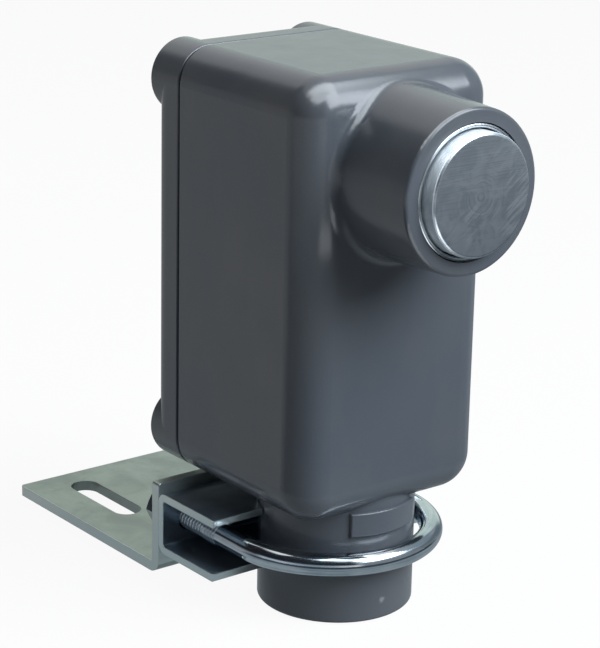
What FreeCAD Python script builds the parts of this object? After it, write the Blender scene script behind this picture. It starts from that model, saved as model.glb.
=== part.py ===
import FreeCAD, Part
import math
import os
import types
import Sketcher

# A magnetic speed switch: a moulded box with a pick-up probe in front,
# held by its conduit hub in a U-bolt clamp.
# The origin is the middle of the hub's mouth, +Z is up along the hub and the probe looks along -Y.

doc = FreeCAD.newDocument("SpeedSwitch")
sheet = doc.addObject("Spreadsheet::Sheet", "Sizes")

# Driving dimensions in millimetres: alias, value, what it is
driving = (
    ("hub_diameter", 42.2, "outside of the conduit hub"),
    ("hub_bore", 33.8, "socket for the conduit"),
    ("hub_depth", 27.0, "how far the conduit goes in"),
    ("hub_throat", 26.6, "wire way above the socket's stop"),
    ("hub_cove", 1.5, "rounding where the hub meets the box"),
    ("hub_edge", 0.8, "rounding outside the hub's mouth"),
    ("pad_width", 21.0, "raised pad on the hub, across"),
    ("pad_rise", 1.0, "raised pad above the hub's surface"),
    ("pad_edge", 0.5, "rounding of the raised pad"),
    ("pad_gap", 2.9, "pad's lower edge above the U-bolt"),
    ("box_bottom", 31.4, "underside of the box above the hub's mouth"),
    ("box_height", 116.8, "box, top to bottom"),
    ("box_width", 61.2, "box, side to side"),
    ("front_reach", 23.5, "front face ahead of the hub's axis"),
    ("seam_reach", 31.0, "rim of the box behind the hub's axis"),
    ("wall", 3.5, "wall of the box and the cover"),
    ("corner_radius", 10.0, "corners of the box seen from the front"),
    ("front_radius", 9.0, "rounding of the front edges"),
    ("seam_edge", 0.4, "rounding of the box and the cover along the seam"),
    ("boss_diameter", 42.2, "outside of the probe boss at its rim"),
    ("boss_root", 44.6, "outside of the probe boss where it meets the front face"),
    ("boss_reach", 48.9, "rim of the boss ahead of the hub's axis"),
    ("boss_drop", 25.5, "axis of the boss below the box's top"),
    ("boss_cove", 3.2, "rounding at the root of the boss"),
    ("boss_edge", 1.0, "rounding of the boss's rim"),
    ("boss_land", 2.0, "raised seat inside the front wall for the lock nut"),
    ("boss_step", 8.0, "thickness of the seat behind the sleeve"),
    ("sleeve_outside", 34.4, "probe sleeve, outside"),
    ("sleeve_inside", 32.4, "probe sleeve, inside its front"),
    ("sleeve_depth", 1.7, "sleeve's front below the boss's rim"),
    ("sleeve_neck", 31.0, "threaded neck of the sleeve"),
    ("sleeve_throat", 28.4, "inside of the neck"),
    ("sleeve_shelf", 1.5, "inner shelf that the probe seats on"),
    ("sleeve_tail", 8.0, "neck behind the lock nut's seat"),
    ("bore_gap", 0.2, "room round the sleeve in the boss"),
    ("probe_diameter", 31.3, "steel probe"),
    ("probe_proud", 3.7, "probe ahead of the boss's rim"),
    ("probe_edge", 0.6, "chamfer of the probe's face"),
    ("core_diameter", 10.0, "pole core inside the coil"),
    ("core_length", 17.5, "pole core behind the probe's seat"),
    ("seal_section", 1.6, "seal ring, thickness"),
    ("seal_setback", 12.0, "seal ring behind the boss's rim"),
    ("lock_diameter", 36.0, "lock nut behind its seat"),
    ("lock_thickness", 5.0, "lock nut, thickness"),
    ("lock_notch", 4.0, "spanner notches of the lock nut"),
    ("bobbin_diameter", 27.6, "coil bobbin's cheeks"),
    ("bobbin_length", 16.0, "coil bobbin"),
    ("bobbin_wall", 1.2, "cheeks and tube of the bobbin"),
    ("winding_gap", 0.8, "winding below the edge of the cheeks"),
    ("magnet_diameter", 18.0, "bias magnet"),
    ("magnet_thickness", 6.0, "bias magnet"),
    ("turning_gap", 0.1, "room between parts that slide together"),
    ("pin_diameter", 1.0, "coil pins"),
    ("pin_spacing", 23.0, "coil pins, apart"),
    ("cover_depth", 11.9, "cover, front to back"),
    ("cover_edge", 6.6, "rounding of the cover's back edge"),
    ("lobe_proud", 0.6, "screw lobes behind the cover's back"),
    ("lobe_edge", 0.5, "rounding of the screw lobes' ends"),
    ("gasket_thickness", 0.7, "gasket in the seam"),
    ("gasket_inset", 0.7, "gasket behind the outer surface"),
    ("gasket_cut", 19.0, "slant at the gasket's inner corners"),
    ("post_bite", 0.5, "screw posts into the walls of the corners"),
    ("post_depth", 18.0, "screw posts, front to back"),
    ("insert_diameter", 5.6, "brass inserts, outside"),
    ("insert_length", 8.0, "brass inserts"),
    ("insert_relief", 6.0, "hole below an insert for the screw's end"),
    ("screw_diameter", 4.0, "cover screws"),
    ("screw_clearance", 0.5, "screw holes over the screw"),
    ("screw_reach", 7.0, "cover screws in their inserts"),
    ("screw_head", 8.0, "cover screw heads"),
    ("screw_head_height", 2.6, "cover screw heads"),
    ("screw_sink", 4.0, "counterbores in the cover"),
    ("sink_diameter", 9.6, "counterbores in the cover"),
    ("slot_width", 1.2, "driver slots"),
    ("slot_depth", 1.2, "driver slots"),
    ("board_reach", 6.0, "front face of the circuit board behind the hub's axis"),
    ("board_thickness", 1.6, "circuit board"),
    ("board_margin", 5.1, "circuit board in from the box's sides"),
    ("board_foot", 18.6, "circuit board above the box's underside"),
    ("board_head", 18.2, "circuit board below the box's top"),
    ("stand_side", 4.5, "board screws in from the board's sides"),
    ("stand_low", 16.0, "lower board screws above the board's lower edge"),
    ("stand_high", 22.0, "upper board screws below the board's upper edge"),
    ("stand_diameter", 7.0, "posts under the board"),
    ("board_screw", 3.0, "board screws"),
    ("board_screw_reach", 8.0, "board screws in their posts"),
    ("board_screw_head", 5.6, "board screw heads"),
    ("board_head_height", 2.0, "board screw heads"),
    ("core_width", 26.0, "transformer core, across"),
    ("core_height", 21.0, "transformer core, up"),
    ("core_stack", 14.0, "transformer core, thickness of the stack"),
    ("core_limb", 4.4, "outer limbs and yokes of the core"),
    ("core_lift", 3.0, "winding proud of the core on either side"),
    ("core_level", 35.5, "middle of the transformer above the board's lower edge"),
    ("winding_round", 1.5, "rounding of the transformer's winding"),
    ("core_gap", 0.2, "room between winding and core"),
    ("relay_width", 20.2, "output relay, across"),
    ("relay_height", 10.2, "output relay, up"),
    ("relay_depth", 12.6, "output relay, off the board"),
    ("relay_edge", 0.8, "rounding of the relay's case"),
    ("relay_level", 18.5, "middle of the relay above the board's lower edge"),
    ("block_depth", 12.0, "terminal block, off the board"),
    ("block_height", 10.0, "terminal block, up"),
    ("block_pitch", 5.08, "terminals, apart"),
    ("block_level", 6.0, "middle of the terminal block above the board's lower edge"),
    ("block_slope", 2.5, "sloping edge over the wire entries"),
    ("well_diameter", 3.6, "screw wells of the terminals"),
    ("well_depth", 5.0, "screw wells of the terminals"),
    ("terminal_head", 2.5, "terminal screw heads, height"),
    ("terminal_slot", 0.6, "driver slots of the terminal screws"),
    ("entry_width", 3.4, "wire entries of the terminals"),
    ("entry_depth", 6.0, "wire entries of the terminals"),
    ("entry_lift", 1.6, "wire entries above the board"),
    ("can_diameter", 8.0, "filter capacitor"),
    ("can_length", 16.0, "filter capacitor"),
    ("can_neck", 0.5, "groove of the capacitor's can, depth"),
    ("can_groove", 1.0, "groove of the capacitor's can, width"),
    ("can_foot", 1.5, "groove of the capacitor's can above the board"),
    ("can_offset", 10.0, "capacitor to the left of the middle"),
    ("can_level", 52.5, "capacitor above the board's lower edge"),
    ("chip_width", 19.0, "signal chip"),
    ("chip_height", 6.4, "signal chip"),
    ("chip_depth", 3.4, "signal chip"),
    ("chip_lift", 0.6, "signal chip above the board"),
    ("chip_offset", 6.5, "chip to the right of the middle"),
    ("chip_level", 52.5, "middle of the chip above the board's lower edge"),
    ("leg_pitch", 2.54, "chip legs, apart"),
    ("leg_width", 0.6, "chip legs"),
    ("leg_thickness", 0.25, "legs of the chip, sheet"),
    ("leg_span", 7.8, "chip legs, across both rows"),
    ("rod_diameter", 6.35, "U-bolt rod"),
    ("leg_room", 3.475, "U-bolt legs out from the hub's clearance"),
    ("bolt_height", 18.7, "U-bolt above the hub's mouth"),
    ("thread_root", 5.5, "U-bolt legs under their threads"),
    ("thread_length", 25.5, "threaded length of the legs"),
    ("thread_lead", 0.6, "chamfer at the leg ends"),
    ("thread_proud", 3.0, "leg ends beyond the nuts"),
    ("clamp_gap", 0.3, "room round the hub in its clamp"),
    ("clamp_width", 73.8, "saddle and angle, side to side"),
    ("saddle_front", 5.7, "saddle's front edges behind the hub's axis"),
    ("saddle_back", 31.0, "saddle's back behind the hub's axis"),
    ("saddle_height", 17.4, "saddle, top to bottom"),
    ("saddle_sheet", 2.1, "saddle's sheet"),
    ("saddle_bend", 0.8, "inside of the saddle's bends"),
    ("saddle_edge", 0.3, "rounding of the saddle's cut edges"),
    ("leg_hole_gap", 0.4, "leg holes over the rod"),
    ("plate_sheet", 3.0, "angle's sheet"),
    ("plate_back", 102.8, "angle's far edge behind the hub's axis"),
    ("plate_level", 3.1, "angle's underside above the hub's mouth"),
    ("plate_top", 29.6, "angle's upright edge above the hub's mouth"),
    ("plate_bend", 1.0, "inside of the angle's bend"),
    ("plate_corner", 1.0, "rounded corners of the angle's plate"),
    ("slot_across", 43.2, "fixing slots, apart"),
    ("slot_near", 69.4, "near end of a slot's middle line behind the hub's axis"),
    ("slot_far", 91.3, "far end of a slot's middle line behind the hub's axis"),
    ("slot_opening", 8.4, "width of the fixing slots"),
    ("nut_flats", 11.1, "clamp nuts across their flats"),
    ("nut_slope", 1.73, "turned corners of the nuts, sideways for each millimetre of height"),
    ("nut_height", 5.6, "clamp nuts"),
    ("washer_diameter", 10.6, "lock washers"),
    ("washer_thickness", 1.4, "lock washers"),
    ("washer_split", 0.9, "split of a lock washer"),
)


class Size:
    """A length that carries its number and the sheet expression that gives it."""

    def __init__(self, value, text):
        self.value = value
        self.text = text

    def join(self, other, sign, value):
        return Size(value, f"({self.text} {sign} {as_size(other).text})")

    def __add__(self, other):
        return self.join(other, "+", self.value + as_size(other).value)

    def __sub__(self, other):
        return self.join(other, "-", self.value - as_size(other).value)

    def __mul__(self, other):
        return self.join(other, "*", self.value * as_size(other).value)

    def __truediv__(self, other):
        return self.join(other, "/", self.value / as_size(other).value)

    def __neg__(self):
        return Size(-self.value, f"(0 - {self.text})")


def as_size(value):
    return value if isinstance(value, Size) else Size(float(value), repr(float(value)))


for row, (alias, value, note) in enumerate(driving, 1):
    sheet.set(f"A{row}", note)
    sheet.set(f"B{row}", str(value))
    sheet.setAlias(f"B{row}", alias)
doc.recompute()

size = types.SimpleNamespace(**{alias: Size(value, f"Sizes.{alias}") for alias, value, note in driving})

# Places that several pieces share
zero = as_size(0)
half_width = size.box_width / 2
box_top = size.box_bottom + size.box_height
box_middle = size.box_bottom + size.box_height / 2
front = -size.front_reach
front_inside = front + size.wall
seam = size.seam_reach
cover_front = seam + size.gasket_thickness
lobe_depth = size.cover_depth + size.lobe_proud
cover_back = cover_front + size.cover_depth
lobe_back = cover_front + lobe_depth
boss_level = box_top - size.boss_drop
boss_rim = -size.boss_reach
boss_taper = (size.boss_root - size.boss_diameter) / 2 / (front - boss_rim)
sleeve_front = boss_rim + size.sleeve_depth
lock_seat = front_inside + size.boss_land
sleeve_seat = lock_seat - size.boss_step
probe_front = boss_rim - size.probe_proud
probe_seat = sleeve_seat - size.sleeve_shelf
core_end = probe_seat + size.core_length
board_front = size.board_reach
board_back = board_front + size.board_thickness
hub_radius = size.hub_diameter / 2
notch_radius = hub_radius + size.clamp_gap
rod_radius = size.rod_diameter / 2
leg_across = notch_radius + size.leg_room + rod_radius
bend_middle = size.leg_room
saddle_top = size.bolt_height + size.saddle_height / 2
saddle_bottom = size.bolt_height - size.saddle_height / 2
plate_back_face = size.saddle_back + size.plate_sheet
nut_front = plate_back_face + size.washer_thickness
nut_back = nut_front + size.nut_height
leg_end = nut_back + size.thread_proud
leg_hole = rod_radius + size.leg_hole_gap
screw_seat = lobe_back - size.screw_sink
cover_screws = [(across, level)
                for across in (size.corner_radius - half_width, half_width - size.corner_radius)
                for level in (size.box_bottom + size.corner_radius, box_top - size.corner_radius)]
post_radius = size.corner_radius - size.wall + size.post_bite
board_side = half_width - size.board_margin
board_low = size.box_bottom + size.board_foot
board_high = box_top - size.board_head
board_screws = [(across, level)
                for across in (size.stand_side - board_side, board_side - size.stand_side)
                for level in (board_low + size.stand_low, board_high - size.stand_high)]
u_legs = [(-leg_across, size.bolt_height), (leg_across, size.bolt_height)]

tolerance = 1e-4
samples = 5
terminals = 8
chip_legs = 7
nut_sides = 6


# Sketches and features

def vector(x, y):
    return FreeCAD.Vector(as_size(x).value, as_size(y).value, 0)


def pin(sketch, geometry, end, x, y):
    """Tie one point of a sketch to the origin by its two sizes."""
    for kind, axis, length in (("DistanceX", -2, as_size(x)), ("DistanceY", -1, as_size(y))):
        if abs(length.value) < tolerance:
            sketch.addConstraint(Sketcher.Constraint("PointOnObject", geometry, end, axis))
            continue
        ends = (-1, 1, geometry, end) if length.value > 0 else (geometry, end, -1, 1)
        length = length if length.value > 0 else -length
        number = sketch.addConstraint(Sketcher.Constraint(kind, *ends, length.value))
        sketch.setExpression(f"Constraints[{number}]", length.text)


def outline(sketch, points):
    """Closed run of straight lines through the points."""
    first = sketch.GeometryCount
    for start, end in zip(points, points[1:] + points[:1]):
        sketch.addGeometry(Part.LineSegment(vector(*start), vector(*end)))
    for step, point in enumerate(points):
        before = first + (step - 1) % len(points)
        sketch.addConstraint(Sketcher.Constraint("Coincident", before, 2, first + step, 1))
        pin(sketch, first + step, 1, *point)


def rectangle(sketch, left, low, right, high):
    outline(sketch, [(left, low), (right, low), (right, high), (left, high)])


def circles(sketch, centres, radius):
    """Circles of one radius."""
    for x, y in centres:
        circle = sketch.addGeometry(Part.Circle(vector(x, y), FreeCAD.Vector(0, 0, 1), radius.value))
        pin(sketch, circle, 3, x, y)
        number = sketch.addConstraint(Sketcher.Constraint("Radius", circle, radius.value))
        sketch.setExpression(f"Constraints[{number}]", radius.text)


def long_slot(sketch, x, near, far, width):
    """Slot along the sketch's vertical axis with round ends."""
    radius = width / 2
    up = FreeCAD.Vector(0, 0, 1)
    ends = []
    for level, start in ((near, math.pi), (far, 0.0)):
        circle = Part.Circle(vector(x, level), up, radius.value)
        arc = sketch.addGeometry(Part.ArcOfCircle(circle, start, start + math.pi))
        pin(sketch, arc, 3, x, level)
        ends.append(arc)
    sides = [sketch.addGeometry(Part.LineSegment(vector(x + side, near), vector(x + side, far)))
             for side in (radius, -radius)]
    for side, (low, high) in zip(sides, ((2, 1), (1, 2))):
        sketch.addConstraint(Sketcher.Constraint("Tangent", ends[0], low, side, 1))
        sketch.addConstraint(Sketcher.Constraint("Tangent", ends[1], high, side, 2))
    number = sketch.addConstraint(Sketcher.Constraint("Radius", ends[0], radius.value))
    sketch.setExpression(f"Constraints[{number}]", radius.text)


def new_body(label):
    body = doc.addObject("PartDesign::Body", label)
    body.Label = label
    body.AllowCompound = True
    return body


def new_sketch(body, plane, level):
    """Sketch on one of the body's own planes, at a level along that plane's axis."""
    sketch = body.newObject("Sketcher::SketchObject", "sketch")
    origin = next(item for item in body.Origin.OriginFeatures if item.Role == plane)
    sketch.AttachmentSupport = (origin, [""])
    sketch.MapMode = "FlatFace"
    offset = -as_size(level) if plane == "XZ_Plane" else as_size(level)
    sketch.setExpression("AttachmentOffset.Base.z", offset.text)
    return sketch


def bind(item, **lengths):
    for name, length in lengths.items():
        item.setExpression(name, as_size(length).text)
    doc.recompute()
    return item


def pad(body, sketch, length, reverse=False, middle=False):
    """Solid on a sketch: an XZ sketch grows towards the front, or towards the back when reversed."""
    feature = body.newObject("PartDesign::Pad", "pad")
    feature.Profile = sketch
    feature.Reversed = reverse
    feature.Midplane = middle
    return bind(feature, Length=length)


def pocket(body, sketch, length, reverse=False, middle=False):
    """Cut on a sketch: an XZ sketch cuts towards the back, or towards the front when reversed."""
    before = body.Shape.Volume
    feature = body.newObject("PartDesign::Pocket", "pocket")
    feature.Profile = sketch
    feature.Reversed = reverse
    feature.Midplane = middle
    bind(feature, Length=length)
    if body.Shape.Volume > before - tolerance:
        raise RuntimeError(f"{body.Label}: a pocket cuts nothing")
    return feature


def turn(body, sketch):
    feature = body.newObject("PartDesign::Revolution", "turning")
    feature.Profile = sketch
    feature.ReferenceAxis = (sketch, ["V_Axis"])
    doc.recompute()
    return feature


def dress(body, kind, radius, name, test):
    """Fillet or chamfer on the edges of the body whose box passes the test."""
    base = body.Tip
    edges = [f"Edge{number}" for number, edge in enumerate(base.Shape.Edges, 1) if test(edge)]
    if not edges:
        raise RuntimeError(f"{body.Label}: no edge to dress")
    feature = body.newObject(f"PartDesign::{kind}", kind.lower())
    feature.Base = (base, edges)
    return bind(feature, **{name: radius})


def fillet(body, radius, test):
    return dress(body, "Fillet", radius, "Radius", test)


def chamfer(body, width, test):
    return dress(body, "Chamfer", width, "Size", test)


def same(first, second):
    return abs(first - as_size(second).value) < tolerance


def along(axis):
    """Test for edges that run straight along one axis."""
    def test(edge):
        box = edge.BoundBox
        spans = {"X": box.XLength, "Y": box.YLength, "Z": box.ZLength}
        return all((span > tolerance) == (name == axis) for name, span in spans.items())
    return test


def at(axis, level):
    """Test for edges that lie at one level of an axis."""
    def test(edge):
        box = edge.BoundBox
        return same(getattr(box, axis + "Min"), level) and same(getattr(box, axis + "Max"), level)
    return test


def both(*tests):
    return lambda edge: all(test(edge) for test in tests)


def pegs(body, level, length, centres, radius, reverse=False):
    """Round studs of one size."""
    sketch = new_sketch(body, "XZ_Plane", level)
    circles(sketch, centres, radius)
    return pad(body, sketch, length, reverse)


def holes(body, level, length, centres, radius, reverse=False):
    """Round holes of one size."""
    sketch = new_sketch(body, "XZ_Plane", level)
    circles(sketch, centres, radius)
    return pocket(body, sketch, length, reverse)


def turned(label, profile):
    """Piece turned about the probe's axis from points (radius, place along Y)."""
    body = new_body(label)
    sketch = new_sketch(body, "XY_Plane", boss_level)
    outline(sketch, profile)
    turn(body, sketch)
    return body


def ring_profile(inside, outside, start, end):
    return [(inside, start), (outside, start), (outside, end), (inside, end)]


def block(label, x, z, width, height, start, depth):
    """Rectangular case that stands on the board."""
    body = new_body(label)
    sketch = new_sketch(body, "XZ_Plane", start)
    rectangle(sketch, x - width / 2, z - height / 2, x + width / 2, z + height / 2)
    pad(body, sketch, depth, reverse=True)
    return body


# The moulded housing and its cover

def box_outline(edge):
    """Test for edges on the outer outline of the box, a rectangle with round corners."""
    radius = size.corner_radius.value
    for point in edge.discretize(samples):
        across = abs(point.x) - half_width.value + radius
        along_side = abs(point.z - box_middle.value) - size.box_height.value / 2 + radius
        reach = math.hypot(max(across, 0), max(along_side, 0)) + min(max(across, along_side), 0)
        if not same(reach, radius):
            return False
    return True


def shell(body, level):
    """Hollow a body to its wall and leave it open at its flat face on one level."""
    base = body.Tip
    rim = [f"Face{number}" for number, face in enumerate(base.Shape.Faces, 1)
           if same(face.BoundBox.YMin, level) and same(face.BoundBox.YMax, level)]
    feature = body.newObject("PartDesign::Thickness", "shell")
    feature.Base = (base, rim)
    feature.Reversed = True
    return bind(feature, Value=size.wall)


def make_housing():
    body = new_body("housing")
    sketch = new_sketch(body, "XZ_Plane", seam)
    rectangle(sketch, -half_width, size.box_bottom, half_width, box_top)
    pad(body, sketch, seam - front)
    fillet(body, size.corner_radius, along("Y"))
    fillet(body, size.front_radius, at("Y", front))
    shell(body, seam)

    # Probe boss with a cove at its root, widening from its rim to a raised seat inside the front wall
    rim_radius = size.boss_diameter / 2
    seat_radius = rim_radius + boss_taper * (lock_seat - boss_rim)
    sketch = new_sketch(body, "XY_Plane", boss_level)
    outline(sketch, [(zero, boss_rim), (rim_radius, boss_rim), (seat_radius, lock_seat), (zero, lock_seat)])
    turn(body, sketch)

    def boss_root(edge):
        for point in edge.discretize(samples):
            behind_rim = point.y - boss_rim.value
            radius = rim_radius.value + boss_taper.value * behind_rim
            on_boss = same(math.hypot(point.x, point.z - boss_level.value), radius)
            if not on_boss or behind_rim < tolerance or point.y > front_inside.value - tolerance:
                return False
        return True

    fillet(body, size.boss_cove, boss_root)
    fillet(body, size.boss_edge, at("Y", boss_rim))

    # Conduit hub with its socket, stop and wire way
    sketch = new_sketch(body, "XY_Plane", zero)
    circles(sketch, [(zero, zero)], hub_radius)
    pad(body, sketch, size.box_bottom + size.wall)

    def hub_root(edge):
        points = edge.discretize(samples)
        on_hub = all(same(math.hypot(point.x, point.y), hub_radius) for point in points)
        return on_hub and all(point.z > size.box_bottom.value - tolerance for point in points)

    fillet(body, size.hub_cove, hub_root)
    fillet(body, size.hub_edge, at("Z", zero))
    sketch = new_sketch(body, "XY_Plane", zero)
    circles(sketch, [(zero, zero)], size.hub_bore / 2)
    pocket(body, sketch, size.hub_depth, reverse=True)
    sketch = new_sketch(body, "XY_Plane", zero)
    circles(sketch, [(zero, zero)], size.hub_throat / 2)
    pocket(body, sketch, size.box_bottom + size.wall, reverse=True)

    # Raised pad on the front of the hub, rounded about the hub's axis
    pad_low = size.bolt_height + rod_radius + size.pad_gap
    pad_radius = hub_radius + size.pad_rise
    pad_side = size.pad_width / 2
    pad_root = size.hub_bore / 2
    half_angle = math.asin(pad_side.value / pad_radius.value)
    sketch = new_sketch(body, "XY_Plane", pad_low)
    circle = Part.Circle(vector(0, 0), FreeCAD.Vector(0, 0, 1), pad_radius.value)
    arc = sketch.addGeometry(Part.ArcOfCircle(circle, -math.pi / 2 - half_angle, -math.pi / 2 + half_angle))
    drop = -pad_radius.value * math.cos(half_angle)
    corners = [(pad_side, drop), (pad_side, -pad_root), (-pad_side, -pad_root), (-pad_side, drop)]
    sides = [sketch.addGeometry(Part.LineSegment(vector(*start), vector(*end)))
             for start, end in zip(corners, corners[1:])]
    sketch.addConstraint(Sketcher.Constraint("Coincident", arc, 3, -1, 1))
    number = sketch.addConstraint(Sketcher.Constraint("Radius", arc, pad_radius.value))
    sketch.setExpression(f"Constraints[{number}]", pad_radius.text)
    joints = ((arc, 2, sides[0], 1), (sides[0], 2, sides[1], 1),
              (sides[1], 2, sides[2], 1), (sides[2], 2, arc, 1))
    for joint in joints:
        sketch.addConstraint(Sketcher.Constraint("Coincident", *joint))
    for side in (sides[0], sides[2]):
        sketch.addConstraint(Sketcher.Constraint("Vertical", side))
    pin(sketch, sides[1], 1, pad_side, -pad_root)
    pin(sketch, sides[1], 2, -pad_side, -pad_root)
    pad(body, sketch, size.box_bottom - pad_low)

    def pad_outline(edge):
        box = edge.BoundBox
        if box.ZMin < pad_low.value - tolerance or box.ZMax > size.box_bottom.value + tolerance:
            return False
        return all(same(math.hypot(point.x, point.y), pad_radius) for point in edge.discretize(samples))

    fillet(body, size.pad_edge, pad_outline)

    # Bore of the boss, with the seat that the sleeve's shoulder meets
    boss = [(zero, boss_level)]
    holes(body, boss_rim, sleeve_seat - boss_rim, boss, size.sleeve_outside / 2 + size.bore_gap)
    holes(body, sleeve_seat, size.boss_step, boss, size.sleeve_neck / 2 + size.bore_gap)

    # Screw posts in the corners, and posts for the circuit board
    pegs(body, seam, size.post_depth, cover_screws, post_radius)
    holes(body, seam, size.insert_length, cover_screws, size.insert_diameter / 2, reverse=True)
    screw_room = size.insert_length + size.insert_relief
    holes(body, seam, screw_room, cover_screws, size.screw_diameter / 2, reverse=True)
    pegs(body, board_front, board_front - front_inside, board_screws, size.stand_diameter / 2)
    holes(body, board_front, size.board_screw_reach, board_screws, size.board_screw / 2, reverse=True)
    fillet(body, size.seam_edge, both(at("Y", seam), box_outline))
    return body


def make_cover():
    body = new_body("rear_cover")
    sketch = new_sketch(body, "XZ_Plane", cover_front)
    rectangle(sketch, -half_width, size.box_bottom, half_width, box_top)
    pad(body, sketch, size.cover_depth, reverse=True)
    fillet(body, size.corner_radius, along("Y"))
    fillet(body, size.cover_edge, at("Y", cover_back))
    shell(body, cover_front)

    # A round lobe stands in each corner, on the corner's own axis, and takes a screw
    pegs(body, cover_front, lobe_depth, cover_screws, size.corner_radius, reverse=True)
    fillet(body, size.lobe_edge, at("Y", lobe_back))
    fillet(body, size.seam_edge, both(at("Y", cover_front), box_outline))
    hole = (size.screw_diameter + size.screw_clearance) / 2
    holes(body, cover_front, lobe_depth, cover_screws, hole)
    holes(body, lobe_back, size.screw_sink, cover_screws, size.sink_diameter / 2, reverse=True)
    return body


def make_gasket():
    body = new_body("cover_gasket")
    side = half_width - size.gasket_inset
    sketch = new_sketch(body, "XZ_Plane", seam)
    rectangle(sketch, -side, size.box_bottom + size.gasket_inset, side, box_top - size.gasket_inset)
    pad(body, sketch, size.gasket_thickness, reverse=True)
    fillet(body, size.corner_radius - size.gasket_inset, along("Y"))

    # The opening is slanted at its corners to leave room for the screws
    inside = half_width - size.wall
    low = size.box_bottom + size.wall
    high = box_top - size.wall
    cut = size.gasket_cut
    sketch = new_sketch(body, "XZ_Plane", seam)
    outline(sketch, [(-inside + cut, low), (inside - cut, low), (inside, low + cut), (inside, high - cut),
                     (inside - cut, high), (-inside + cut, high), (-inside, high - cut),
                     (-inside, low + cut)])
    pocket(body, sketch, size.gasket_thickness)
    holes(body, seam, size.gasket_thickness, cover_screws, (size.screw_diameter + size.screw_clearance) / 2)
    return body


def slotted_screws(label, centres, seat, head, head_height, shank, reach):
    """Slotted screws whose heads stand on a face and whose shanks point to the front."""
    body = new_body(label)
    pegs(body, seat, head_height, centres, head / 2, reverse=True)
    pegs(body, seat, reach, centres, shank / 2)
    sketch = new_sketch(body, "XZ_Plane", seat + head_height)
    for x, z in centres:
        rectangle(sketch, x - head / 2, z - size.slot_width / 2, x + head / 2, z + size.slot_width / 2)
    pocket(body, sketch, size.slot_depth, reverse=True)
    return body


def make_inserts():
    body = new_body("thread_inserts")
    pegs(body, seam, size.insert_length, cover_screws, size.insert_diameter / 2)
    holes(body, seam, size.insert_length, cover_screws, size.screw_diameter / 2, reverse=True)
    return body


# The pick-up in the boss

def make_probe():
    radius = size.probe_diameter / 2
    seal = boss_rim + size.seal_setback
    half_groove = size.seal_section / 2 + size.turning_gap
    floor = size.sleeve_inside / 2 - size.seal_section
    core = size.core_diameter / 2
    return turned("sensor_probe", [
        (zero, probe_front), (radius - size.probe_edge, probe_front), (radius, probe_front + size.probe_edge),
        (radius, seal - half_groove), (floor, seal - half_groove), (floor, seal + half_groove),
        (radius, seal + half_groove), (radius, probe_seat), (core, probe_seat), (core, core_end),
        (zero, core_end)])


def make_seal_ring():
    outside = size.sleeve_inside / 2
    middle = boss_rim + size.seal_setback
    half = size.seal_section / 2
    inside = outside - size.seal_section
    return turned("probe_seal_ring", ring_profile(inside, outside, middle - half, middle + half))


def make_sleeve():
    outside = size.sleeve_outside / 2
    inside = size.sleeve_inside / 2
    neck = size.sleeve_neck / 2
    throat = size.sleeve_throat / 2
    tail = lock_seat + size.sleeve_tail
    return turned("probe_sleeve", [
        (inside, sleeve_front), (outside, sleeve_front), (outside, sleeve_seat), (neck, sleeve_seat),
        (neck, tail), (throat, tail), (throat, probe_seat), (inside, probe_seat)])


def make_lock_nut():
    inside = size.sleeve_neck / 2 + size.turning_gap
    outside = size.lock_diameter / 2
    body = turned("probe_lock_nut", ring_profile(inside, outside, lock_seat, lock_seat + size.lock_thickness))
    sketch = new_sketch(body, "XZ_Plane", lock_seat)
    half = size.lock_notch / 2
    rectangle(sketch, -outside - half, boss_level - half, -outside + half, boss_level + half)
    rectangle(sketch, outside - half, boss_level - half, outside + half, boss_level + half)
    pocket(body, sketch, size.lock_thickness)
    return body


def make_coil():
    tube = size.core_diameter / 2 + size.turning_gap
    cheek = size.bobbin_diameter / 2
    hub = tube + size.bobbin_wall
    start = probe_seat
    end = start + size.bobbin_length
    near = start + size.bobbin_wall
    far = end - size.bobbin_wall
    turned("coil_bobbin", [(tube, start), (cheek, start), (cheek, near), (hub, near), (hub, far),
                           (cheek, far), (cheek, end), (tube, end)])
    turned("coil_winding", ring_profile(hub, cheek - size.winding_gap, near, far))
    pins = new_body("lead_pins")
    spots = [(-size.pin_spacing / 2, boss_level), (size.pin_spacing / 2, boss_level)]
    pegs(pins, end, board_front - end, spots, size.pin_diameter / 2, reverse=True)


def make_magnet():
    radius = size.magnet_diameter / 2
    return turned("bias_magnet", ring_profile(zero, radius, core_end, core_end + size.magnet_thickness))


# The circuit

def make_board():
    body = new_body("circuit_board")
    sketch = new_sketch(body, "XZ_Plane", board_front)
    rectangle(sketch, -board_side, board_low, board_side, board_high)
    pad(body, sketch, size.board_thickness, reverse=True)
    hole = (size.board_screw + size.screw_clearance) / 2
    holes(body, board_front, size.board_thickness, board_screws, hole)
    return body


def make_transformer():
    level = board_low + size.core_level
    half = size.core_width / 2
    limb = size.core_limb
    rise = size.core_height / 2
    start = board_back + size.core_lift
    core = new_body("transformer_core")
    sketch = new_sketch(core, "XZ_Plane", start)
    rectangle(sketch, -half, level - rise, half, level + rise)
    pad(core, sketch, size.core_stack, reverse=True)
    sketch = new_sketch(core, "XZ_Plane", start)
    for left, right in ((-half + limb, -limb), (limb, half - limb)):
        rectangle(sketch, left, level - rise + limb, right, level + rise - limb)
    pocket(core, sketch, size.core_stack)

    # The winding passes through both windows, round the middle limb
    gap = size.core_gap
    winding = new_body("transformer_winding")
    sketch = new_sketch(winding, "XY_Plane", level - rise + limb + gap)
    side = half - limb - gap
    rectangle(sketch, -side, board_back, side, start + size.core_stack + size.core_lift)
    rectangle(sketch, -limb, start, limb, start + size.core_stack)
    pad(winding, sketch, (rise - limb - gap) * 2)
    fillet(winding, size.winding_round, both(along("Z"), lambda edge: same(abs(edge.BoundBox.XMin), side)))


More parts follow.
